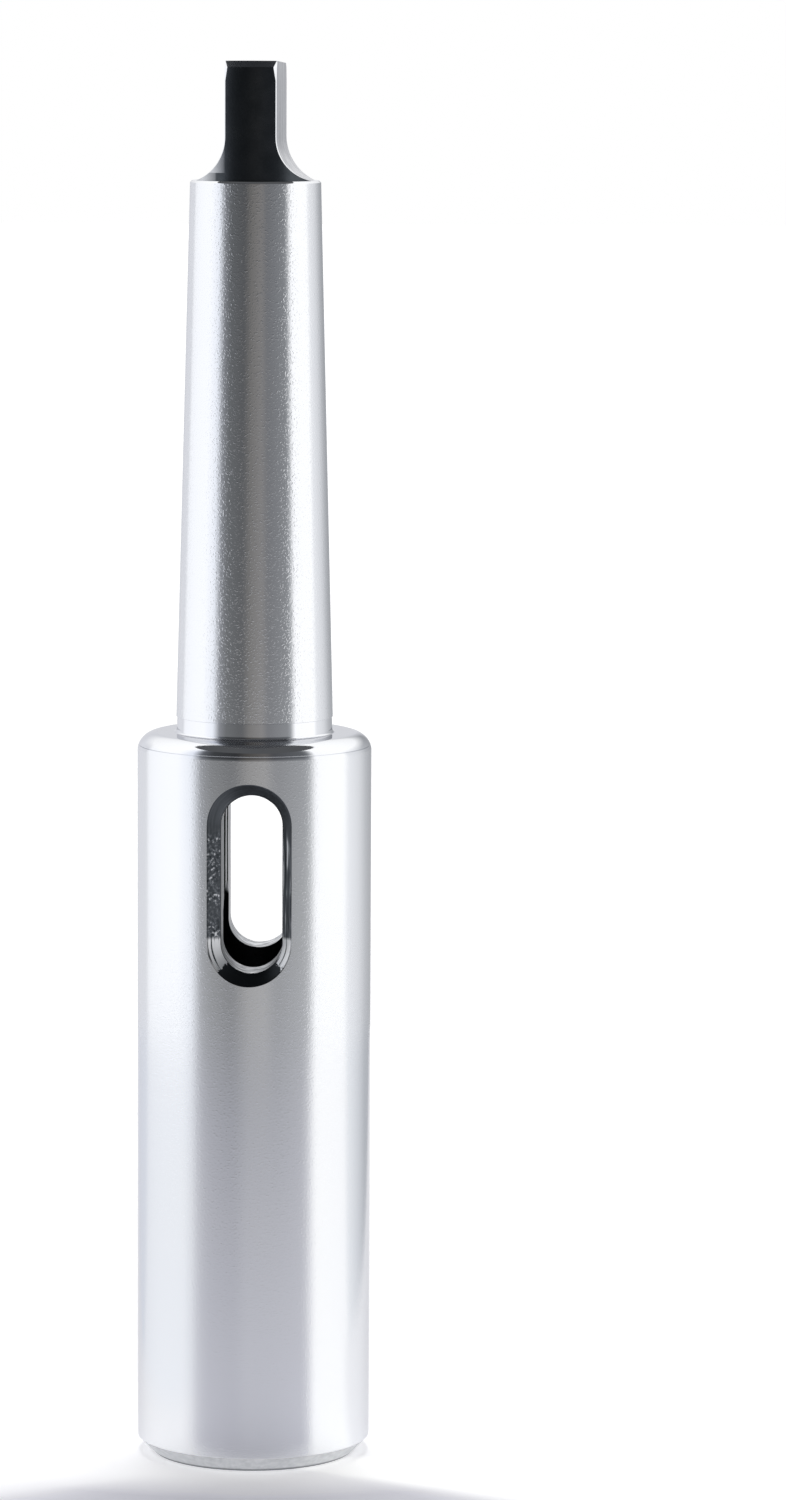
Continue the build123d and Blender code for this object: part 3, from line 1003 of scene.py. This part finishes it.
def place_camera(scene, look):
    """The camera of the photo: its place, aim and focal length."""
    data = bpy.data.cameras.new("camera")
    camera = bpy.data.objects.new("camera", data)
    scene.collection.objects.link(camera)
    data.sensor_width = SENSOR_WIDTH
    data.lens = look.focal_pixels * SENSOR_WIDTH / IMAGE_HEIGHT
    data.clip_start = 10 * MM
    aim = look.camera_yaw - look.camera_turn
    ahead = Vector((
        math.sin(aim) * math.cos(look.camera_pitch),
        math.cos(aim) * math.cos(look.camera_pitch),
        -math.sin(look.camera_pitch),
    ))
    right = Vector((math.cos(aim), -math.sin(aim), 0.0))
    up = right.cross(ahead)
    turned_right = right * math.cos(look.camera_roll) + up * math.sin(look.camera_roll)
    turned_up = up * math.cos(look.camera_roll) - right * math.sin(look.camera_roll)
    axes = Matrix((turned_right, turned_up, -ahead)).transposed().to_4x4()
    stand = Vector((
        look.camera_distance * math.sin(look.camera_turn),
        -look.camera_distance * math.cos(look.camera_turn),
        look.camera_height,
    ))
    camera.matrix_world = Matrix.Translation(stand) @ axes
    scene.camera = camera


# Wall of the tent round the axis: degrees from the camera, positive to the right, and how light it is
TENT_WALL = [
    (-180, "#E2E3E6"), (-150, "#E9EAEE"), (-132, "#DBDCE0"), (-125, "#F8F9FC"), (-80, "#FAFBFE"),
    (-64, "#E9ECF3"), (-53, "#7C7E83"), (-42, "#5C5E60"), (-18, "#515254"), (-7, "#6B6967"), (10, "#7A7877"),
    (19, "#6B6C6F"), (49, "#7B7D80"), (54, "#929497"), (62, "#FCFCFD"), (98, "#FFFFFF"), (104, "#E3E4E7"),
    (123, "#D5D6D9"), (140, "#B7B9BC"), (166, "#A5A7AA"), (174, "#E2E3E6"), (180, "#E2E3E6"),
]

# Heights between which that pattern narrows round the front, and how narrow it gets
NARROW_START = 0.22
NARROW_END = 0.65
NARROW_SHARE = 0.75

# Heights between which the wall's greys deepen, by what gamma, and where the back is white instead
DEEPEN_START = 0.2
DEEPEN_END = 0.3
DEEPEN_GAMMA = 1.4
BACK_START = -0.1
BACK_END = 0.05

# How much the wall pales towards the floor: metres up, and share of white
TENT_FOOT = [(0.0, 0.26), (0.054, 0.175), (0.1, 0.045), (0.2, 0.0)]

# The same by direction: it pales most in the middle of the front
FOOT_SIDES = [(-40, 0.8), (-24, 0.62), (-4, 1.0), (10, 1.0), (24, 0.75), (45, 0.9)]

# Shade painted on the paper in front, by direction: degrees from the camera and share of the shade
FLOOR_SHADE = [
    (-74, 0.0), (-64, 0.3), (-58, 0.72), (-52, 0.9), (-45, 0.98), (-32, 1.0), (-20, 1.0), (-7, 0.91),
    (48, 0.9), (54, 0.7), (58, 0.32), (63, 0.0),
]

# Its inner border is an oval round the foot, longer from side to side
SHADE_OVAL = (0.7, 1.0, 0.0)

# White paper round the axis, with painted light that makes it a little brighter by the right-hand panel
FLOOR_SIDES = [(-180, "#F1F1F3"), (55, "#F1F1F3"), (63, "#FFFFFF"), (96, "#FFFFFF"), (106, "#F1F1F3")]

# From the axis to where painted light starts to whiten the paper, and how far past its sides it gives way to
# the table
PAPER_WHITENS = 0.1
PAPER_FADE = 1.35

# Table beyond the paper's sides, under the tent's wall, with light and shade painted on it by direction: white
# by the right-hand panel, greyer behind it
TABLE_LIGHT_AND_SHADE = [
    (-180, "#FFFFFF"), (-160, "#EEF0F6"), (-132, "#E2E5EC"), (-125, "#EEF0F4"), (-66, "#ECEEF2"),
    (55, "#F6F6F8"), (62, "#FFFFFF"), (98, "#FDFDFE"), (104, "#E9EBEE"), (123, "#D6D8DC"), (140, "#C0C3C7"),
    (160, "#C5C8CC"), (180, "#FFFFFF"),
]


def turn_share(tree, split, focus):
    """Direction round a point in front of the axis, as a share of the full turn that starts at the back."""
    front = add_node(tree, "ShaderNodeMath", {0: split["Y"], 1: -1.0, 2: -focus}, operation="MULTIPLY_ADD")
    turn = add_node(tree, "ShaderNodeMath", {0: split["X"], 1: front}, operation="ARCTAN2")
    return add_node(tree, "ShaderNodeMapRange", {"Value": turn, "From Min": -math.pi, "From Max": math.pi})


def turn_stops(table, shade):
    """Ramp stops for that share from a table of degrees and levels, and the function for a level's colour."""
    return [((degrees + 180) / 360, shade(level)) for degrees, level in table]


def grey(level):
    """A neutral colour of a given linear level."""
    return (level, level, level, 1.0)


def light_tent(scene, look):
    """A tent of plain panels that only reflections see: white at both sides, dim in front and overhead."""
    wall, tree = new_material("Tent wall")
    place = add_node(tree, "ShaderNodeTexCoord", out="Object")
    split = add_node(tree, "ShaderNodeSeparateXYZ", {0: place}, out=None)
    narrow = add_node(
        tree, "ShaderNodeMapRange",
        {"Value": split["Z"], "From Min": NARROW_START, "From Max": NARROW_END,
         "To Min": 1.0, "To Max": NARROW_SHARE}
    )
    turn = turn_share(tree, split, 0.0)
    turn = add_node(tree, "ShaderNodeMath", {0: turn, 1: 0.5}, operation="SUBTRACT")
    turn = add_node(tree, "ShaderNodeMath", {0: turn, 1: narrow, 2: 0.5}, operation="MULTIPLY_ADD")
    panels = add_node(tree, "ShaderNodeValToRGB", {"Fac": turn}, stops=turn_stops(TENT_WALL, linear))
    high = add_node(
        tree, "ShaderNodeMapRange", {"Value": split["Z"], "From Min": DEEPEN_START, "From Max": DEEPEN_END}
    )
    gamma = add_node(tree, "ShaderNodeMapRange", {"Value": high, "To Min": 1.0, "To Max": DEEPEN_GAMMA})
    deep = add_node(tree, "ShaderNodeGamma", {"Color": panels, "Gamma": gamma})
    foot_top = TENT_FOOT[-1][0]
    up = add_node(tree, "ShaderNodeMapRange", {"Value": split["Z"], "From Max": foot_top})
    foot = add_node(
        tree, "ShaderNodeValToRGB", {"Fac": up},
        stops=[(height / foot_top, grey(share)) for height, share in TENT_FOOT]
    )
    foot_sides = add_node(tree, "ShaderNodeValToRGB", {"Fac": turn}, stops=turn_stops(FOOT_SIDES, grey))
    foot = add_node(tree, "ShaderNodeMath", {0: foot, 1: foot_sides}, operation="MULTIPLY")
    back = add_node(
        tree, "ShaderNodeMapRange", {"Value": split["Y"], "From Min": BACK_START, "From Max": BACK_END}
    )
    high_back = add_node(tree, "ShaderNodeMath", {0: high, 1: back}, operation="MULTIPLY")
    pale = add_node(tree, "ShaderNodeMath", {0: high_back, 1: foot}, operation="MAXIMUM")
    tint = add_node(tree, "ShaderNodeMix", {0: pale, 6: deep, 7: grey(1.0)}, data_type="RGBA", out=2)
    glow = add_node(tree, "ShaderNodeEmission", {"Color": tint, "Strength": look.panel_strength})
    add_node(tree, "ShaderNodeOutputMaterial", {"Surface": glow}, out=None)

    roof, tree = new_material("Tent roof")
    glow = add_node(
        tree, "ShaderNodeEmission", {"Color": linear("#4E4F51"), "Strength": look.panel_strength}
    )
    add_node(tree, "ShaderNodeOutputMaterial", {"Surface": glow}, out=None)

    work = bmesh.new()
    foot_ring = []
    roof_ring = []
    for step in range(TENT_STEPS):
        spoke = 2 * math.pi * step / TENT_STEPS
        x, y = look.tent_radius * math.cos(spoke), look.tent_radius * math.sin(spoke)
        foot_ring.append(work.verts.new((x, y, 0.0)))
        roof_ring.append(work.verts.new((x, y, look.tent_height)))
    for step in range(TENT_STEPS):
        ahead = (step + 1) % TENT_STEPS
        work.faces.new((foot_ring[ahead], foot_ring[step], roof_ring[step], roof_ring[ahead]))
    top = work.faces.new(roof_ring[::-1])
    top.material_index = 1
    mesh = bpy.data.meshes.new("light_tent")
    work.to_mesh(mesh)
    work.free()
    mesh.materials.append(wall)
    mesh.materials.append(roof)
    tent = bpy.data.objects.new("light_tent", mesh)
    scene.collection.objects.link(tent)
    tent.rotation_euler = (0.0, 0.0, look.camera_turn)
    tent.visible_camera = False
    tent.visible_diffuse = False
    tent.visible_shadow = False


def paper_floor(scene, look):
    """White paper that keeps a soft shadow, with light and shade painted on it: shade in the tent's open
    front, light by the right-hand panel, and both on the table past its sides.
    """
    material, tree = new_material("White paper")
    place = add_node(tree, "ShaderNodeTexCoord", out="Object")
    split = add_node(tree, "ShaderNodeSeparateXYZ", {0: place}, out=None)
    share = turn_share(tree, split, look.shade_focus)

    # The painted shade in front, inside its directions and outside its oval
    shade = add_node(tree, "ShaderNodeValToRGB", {"Fac": share}, stops=turn_stops(FLOOR_SHADE, grey))
    oval = add_node(tree, "ShaderNodeVectorMath", {0: place, 1: SHADE_OVAL}, operation="MULTIPLY")
    oval = add_node(tree, "ShaderNodeVectorMath", {0: oval}, operation="LENGTH", out="Value")
    starts = add_node(
        tree, "ShaderNodeMapRange", {"Value": oval, "From Min": look.shade_start, "From Max": look.shade_full}
    )
    shaded = add_node(tree, "ShaderNodeMath", {0: shade, 1: starts}, operation="MULTIPLY")
    away = add_node(
        tree, "ShaderNodeMapRange",
        {"Value": split["Y"], "From Min": -look.shade_start, "From Max": -look.tent_radius}
    )
    front = add_node(
        tree, "ShaderNodeMix", {0: away, 6: look.floor_shade, 7: look.floor_far_shade},
        data_type="RGBA", out=2
    )

    # The paper by its direction, with painted light: brighter by the right-hand panel and whiter farther out
    sides = add_node(tree, "ShaderNodeValToRGB", {"Fac": share}, stops=turn_stops(FLOOR_SIDES, linear))
    reach = add_node(tree, "ShaderNodeVectorMath", {0: place}, operation="LENGTH", out="Value")
    lit = add_node(
        tree, "ShaderNodeMapRange", {"Value": reach, "From Min": PAPER_WHITENS, "From Max": look.tent_radius}
    )
    sides = add_node(tree, "ShaderNodeMix", {0: lit, 6: sides, 7: grey(1.0)}, data_type="RGBA", out=2)

    # The table past its sides, with its painted light and shade
    depth = add_node(tree, "ShaderNodeMath", {0: split["Y"], 1: look.camera_distance}, operation="ADD")
    slant = add_node(tree, "ShaderNodeMath", {0: split["X"], 1: depth}, operation="DIVIDE")
    slant = add_node(tree, "ShaderNodeMath", {0: slant, 1: look.paper_middle}, operation="SUBTRACT")
    slant = add_node(tree, "ShaderNodeMath", {0: slant}, operation="ABSOLUTE")
    off_sheet = add_node(
        tree, "ShaderNodeMapRange",
        {"Value": slant, "From Min": look.paper_side, "From Max": look.paper_side * PAPER_FADE}
    )
    table_turn = turn_share(tree, split, 0.0)
    table = add_node(tree, "ShaderNodeValToRGB", {"Fac": table_turn}, stops=turn_stops(TABLE_LIGHT_AND_SHADE, linear))
    sides = add_node(tree, "ShaderNodeMix", {0: off_sheet, 6: sides, 7: table}, data_type="RGBA", out=2)
    tint = add_node(tree, "ShaderNodeMix", {0: shaded, 6: sides, 7: front}, data_type="RGBA", out=2)
    shader = add_node(
        tree, "ShaderNodeBsdfPrincipled",
        {"Base Color": tint, "Roughness": 0.9, "Specular IOR Level": 0.0,
         "Emission Color": tint, "Emission Strength": look.floor_glow}
    )
    add_node(tree, "ShaderNodeOutputMaterial", {"Surface": shader}, out=None)
    mesh = bpy.data.meshes.new("paper_floor")
    far = look.floor_reach
    corners = [(-far, -far, 0.0), (far, -far, 0.0), (far, far, 0.0), (-far, far, 0.0)]
    mesh.from_pydata(corners, [], [(0, 1, 2, 3)])
    mesh.materials.append(material)
    floor = bpy.data.objects.new("paper_floor", mesh)
    scene.collection.objects.link(floor)
    floor.rotation_euler = (0.0, 0.0, look.camera_turn)
    floor.location.z = -FLOOR_GAP


def key_light(scene, look):
    """A soft light from behind that lays the socket's shadow on the paper. Metal doesn't show this lamp."""
    data = bpy.data.lights.new("key_light", "SUN")
    data.energy = look.key_light
    data.angle = look.key_softness
    lamp = bpy.data.objects.new("key_light", data)
    scene.collection.objects.link(lamp)
    lamp.rotation_euler = (look.key_height - math.pi / 2, 0.0, look.camera_turn)
    lamp.visible_glossy = False


def white_world(scene, look):
    """A white backdrop for the camera and for reflections, and soft light from all round."""
    world = bpy.data.worlds.new("White studio")
    scene.world = world
    world.use_nodes = True
    tree = world.node_tree
    tree.nodes.clear()
    path = add_node(tree, "ShaderNodeLightPath", out=None)
    seen = path["Is Camera Ray"]
    for ray in ("Is Glossy Ray", "Is Transmission Ray"):
        seen = add_node(tree, "ShaderNodeMath", {0: seen, 1: path[ray]}, operation="MAXIMUM")
    strength = add_node(
        tree, "ShaderNodeMapRange", {"Value": seen, "To Min": look.ambient_light, "To Max": 1.0}
    )
    backdrop = add_node(tree, "ShaderNodeBackground", {"Color": grey(1.0), "Strength": strength})
    add_node(tree, "ShaderNodeOutputWorld", {"Surface": backdrop}, out=None)


class SOCKET_OT_studio(Operator):
    """Sets the camera, the light tent, the white floor and the white backdrop"""

    bl_idname = "socket.studio"
    bl_label = "Studio"

    def execute(self, context):
        scene = context.scene
        look = scene.stage_look
        place_camera(scene, look)
        light_tent(scene, look)
        paper_floor(scene, look)
        key_light(scene, look)
        white_world(scene, look)
        scene.view_settings.view_transform = "Standard"
        return {"FINISHED"}


class SOCKET_PT_sidebar(Panel):
    """Lists the socket's sizes, finishes and operators"""

    bl_idname = "SOCKET_PT_sidebar"
    bl_label = "Extension socket"
    bl_space_type = "VIEW_3D"
    bl_region_type = "UI"
    bl_category = "Socket"

    def draw(self, context):
        scene = context.scene
        for group in (scene.socket_sizes, scene.socket_finish, scene.stage_look):
            box = self.layout.box()
            for name in group.__annotations__:
                box.prop(group, name)
        self.layout.operator(SOCKET_OT_turned_body.bl_idname)
        self.layout.operator(SOCKET_OT_studio.bl_idname)


CLASSES = (SocketSizes, SocketFinish, StageLook, SOCKET_OT_turned_body, SOCKET_OT_studio, SOCKET_PT_sidebar)


def register():
    for cls in CLASSES:
        bpy.utils.register_class(cls)
    bpy.types.Scene.socket_sizes = PointerProperty(type=SocketSizes)
    bpy.types.Scene.socket_finish = PointerProperty(type=SocketFinish)
    bpy.types.Scene.stage_look = PointerProperty(type=StageLook)


def unregister():
    del bpy.types.Scene.stage_look
    del bpy.types.Scene.socket_finish
    del bpy.types.Scene.socket_sizes
    for cls in reversed(CLASSES):
        bpy.utils.unregister_class(cls)


def main():
    register()
    bpy.ops.socket.turned_body()
    bpy.ops.socket.studio()


if __name__ == "__main__":
    main()
